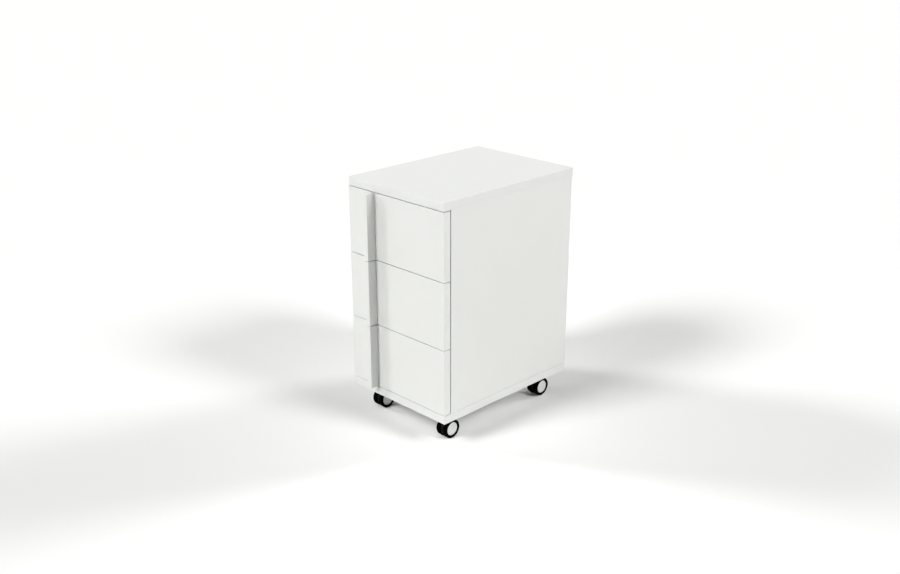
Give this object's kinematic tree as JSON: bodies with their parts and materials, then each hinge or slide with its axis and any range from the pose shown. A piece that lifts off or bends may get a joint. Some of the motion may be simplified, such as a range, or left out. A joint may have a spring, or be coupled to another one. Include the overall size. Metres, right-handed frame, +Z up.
{
  "type": "rolling pedestal cabinet",
  "caption": "White under-desk pedestal cabinet on swivel casters, with equal drawers on roller runners and an upright bar pull on each front.",
  "frame": {"origin": "on the floor, under the middle of the whole cabinet's box, pulls included", "axes": "+Z up from the casters to the top surface, -Y towards the drawer fronts, +X to the right seen from the front"},
  "size_m": [0.34, 0.492, 0.64],
  "materials": {
    "laminate": "white melamine-faced chipboard, smooth satin, edge-banded",
    "back_panel": "white-lacquered hardboard, satin",
    "drawer_board": "light grey melamine-faced chipboard, satin",
    "pull": "white powder-coated aluminium bar, satin",
    "coated_steel": "white epoxy-coated folded sheet steel, satin",
    "zinc_steel": "bright zinc-plated steel",
    "caster_housing": "black moulded nylon, fine matte grain",
    "tyre": "black soft polyurethane tread, matte",
    "wheel_core": "light grey moulded nylon, satin"
  },
  "bodies": {
    "carcass": {"top_board": "laminate", "bottom_board": "laminate", "left_side_panel": "laminate", "right_side_panel": "laminate", "back_panel": "back_panel", "runner_1_left_rail": "coated_steel", "runner_1_right_rail": "coated_steel", "runner_2_left_rail": "coated_steel", "runner_2_right_rail": "coated_steel", "runner_3_left_rail": "coated_steel", "runner_3_right_rail": "coated_steel", "front_left_caster_plate": "zinc_steel", "front_right_caster_plate": "zinc_steel", "rear_left_caster_plate": "zinc_steel", "rear_right_caster_plate": "zinc_steel"},
    "drawer_1": {"drawer_1_front": "laminate", "drawer_1_pull": "pull", "drawer_1_left_side": "coated_steel", "drawer_1_right_side": "coated_steel", "drawer_1_bottom": "drawer_board", "drawer_1_back": "drawer_board"},
    "drawer_2": {"drawer_2_front": "laminate", "drawer_2_pull": "pull", "drawer_2_left_side": "coated_steel", "drawer_2_right_side": "coated_steel", "drawer_2_bottom": "drawer_board", "drawer_2_back": "drawer_board"},
    "drawer_3": {"drawer_3_front": "laminate", "drawer_3_pull": "pull", "drawer_3_left_side": "coated_steel", "drawer_3_right_side": "coated_steel", "drawer_3_bottom": "drawer_board", "drawer_3_back": "drawer_board"},
    "front_left_caster": {"front_left_caster_housing": "caster_housing", "front_left_caster_axle": "zinc_steel"},
    "front_left_left_wheel": {"front_left_left_wheel_core": "wheel_core", "front_left_left_wheel_tyre": "tyre"},
    "front_left_right_wheel": {"front_left_right_wheel_core": "wheel_core", "front_left_right_wheel_tyre": "tyre"},
    "front_right_caster": {"front_right_caster_housing": "caster_housing", "front_right_caster_axle": "zinc_steel"},
    "front_right_left_wheel": {"front_right_left_wheel_core": "wheel_core", "front_right_left_wheel_tyre": "tyre"},
    "front_right_right_wheel": {"front_right_right_wheel_core": "wheel_core", "front_right_right_wheel_tyre": "tyre"},
    "rear_left_caster": {"rear_left_caster_housing": "caster_housing", "rear_left_caster_axle": "zinc_steel"},
    "rear_left_left_wheel": {"rear_left_left_wheel_core": "wheel_core", "rear_left_left_wheel_tyre": "tyre"},
    "rear_left_right_wheel": {"rear_left_right_wheel_core": "wheel_core", "rear_left_right_wheel_tyre": "tyre"},
    "rear_right_caster": {"rear_right_caster_housing": "caster_housing", "rear_right_caster_axle": "zinc_steel"},
    "rear_right_left_wheel": {"rear_right_left_wheel_core": "wheel_core", "rear_right_left_wheel_tyre": "tyre"},
    "rear_right_right_wheel": {"rear_right_right_wheel_core": "wheel_core", "rear_right_right_wheel_tyre": "tyre"}
  },
  "joints": [
    {"name": "drawer_1_slide", "type": "slide", "parent": "carcass", "child": "drawer_1", "axis": [0, -1, 0], "range_m": [0, 0.3]},
    {"name": "drawer_2_slide", "type": "slide", "parent": "carcass", "child": "drawer_2", "axis": [0, -1, 0], "range_m": [0, 0.3]},
    {"name": "drawer_3_slide", "type": "slide", "parent": "carcass", "child": "drawer_3", "axis": [0, -1, 0], "range_m": [0, 0.3]},
    {"name": "front_left_swivel", "type": "hinge", "parent": "carcass", "child": "front_left_caster", "pos_m": [-0.122, -0.1455, 0.06], "axis": [0, 0, 1], "continuous": true},
    {"name": "front_left_left_wheel_spin", "type": "hinge", "parent": "front_left_caster", "child": "front_left_left_wheel", "pos_m": [-0.133, -0.1615, 0.025], "axis": [1, 0, 0], "continuous": true},
    {"name": "front_left_right_wheel_spin", "type": "hinge", "parent": "front_left_caster", "child": "front_left_right_wheel", "pos_m": [-0.111, -0.1615, 0.025], "axis": [1, 0, 0], "continuous": true},
    {"name": "front_right_swivel", "type": "hinge", "parent": "carcass", "child": "front_right_caster", "pos_m": [0.122, -0.1455, 0.06], "axis": [0, 0, 1], "continuous": true},
    {"name": "front_right_left_wheel_spin", "type": "hinge", "parent": "front_right_caster", "child": "front_right_left_wheel", "pos_m": [0.111, -0.1615, 0.025], "axis": [1, 0, 0], "continuous": true},
    {"name": "front_right_right_wheel_spin", "type": "hinge", "parent": "front_right_caster", "child": "front_right_right_wheel", "pos_m": [0.133, -0.1615, 0.025], "axis": [1, 0, 0], "continuous": true},
    {"name": "rear_left_swivel", "type": "hinge", "parent": "carcass", "child": "rear_left_caster", "pos_m": [-0.122, 0.2035, 0.06], "axis": [0, 0, 1], "continuous": true},
    {"name": "rear_left_left_wheel_spin", "type": "hinge", "parent": "rear_left_caster", "child": "rear_left_left_wheel", "pos_m": [-0.133, 0.1875, 0.025], "axis": [1, 0, 0], "continuous": true},
    {"name": "rear_left_right_wheel_spin", "type": "hinge", "parent": "rear_left_caster", "child": "rear_left_right_wheel", "pos_m": [-0.111, 0.1875, 0.025], "axis": [1, 0, 0], "continuous": true},
    {"name": "rear_right_swivel", "type": "hinge", "parent": "carcass", "child": "rear_right_caster", "pos_m": [0.122, 0.2035, 0.06], "axis": [0, 0, 1], "continuous": true},
    {"name": "rear_right_left_wheel_spin", "type": "hinge", "parent": "rear_right_caster", "child": "rear_right_left_wheel", "pos_m": [0.111, 0.1875, 0.025], "axis": [1, 0, 0], "continuous": true},
    {"name": "rear_right_right_wheel_spin", "type": "hinge", "parent": "rear_right_caster", "child": "rear_right_right_wheel", "pos_m": [0.133, 0.1875, 0.025], "axis": [1, 0, 0], "continuous": true}
  ]
}
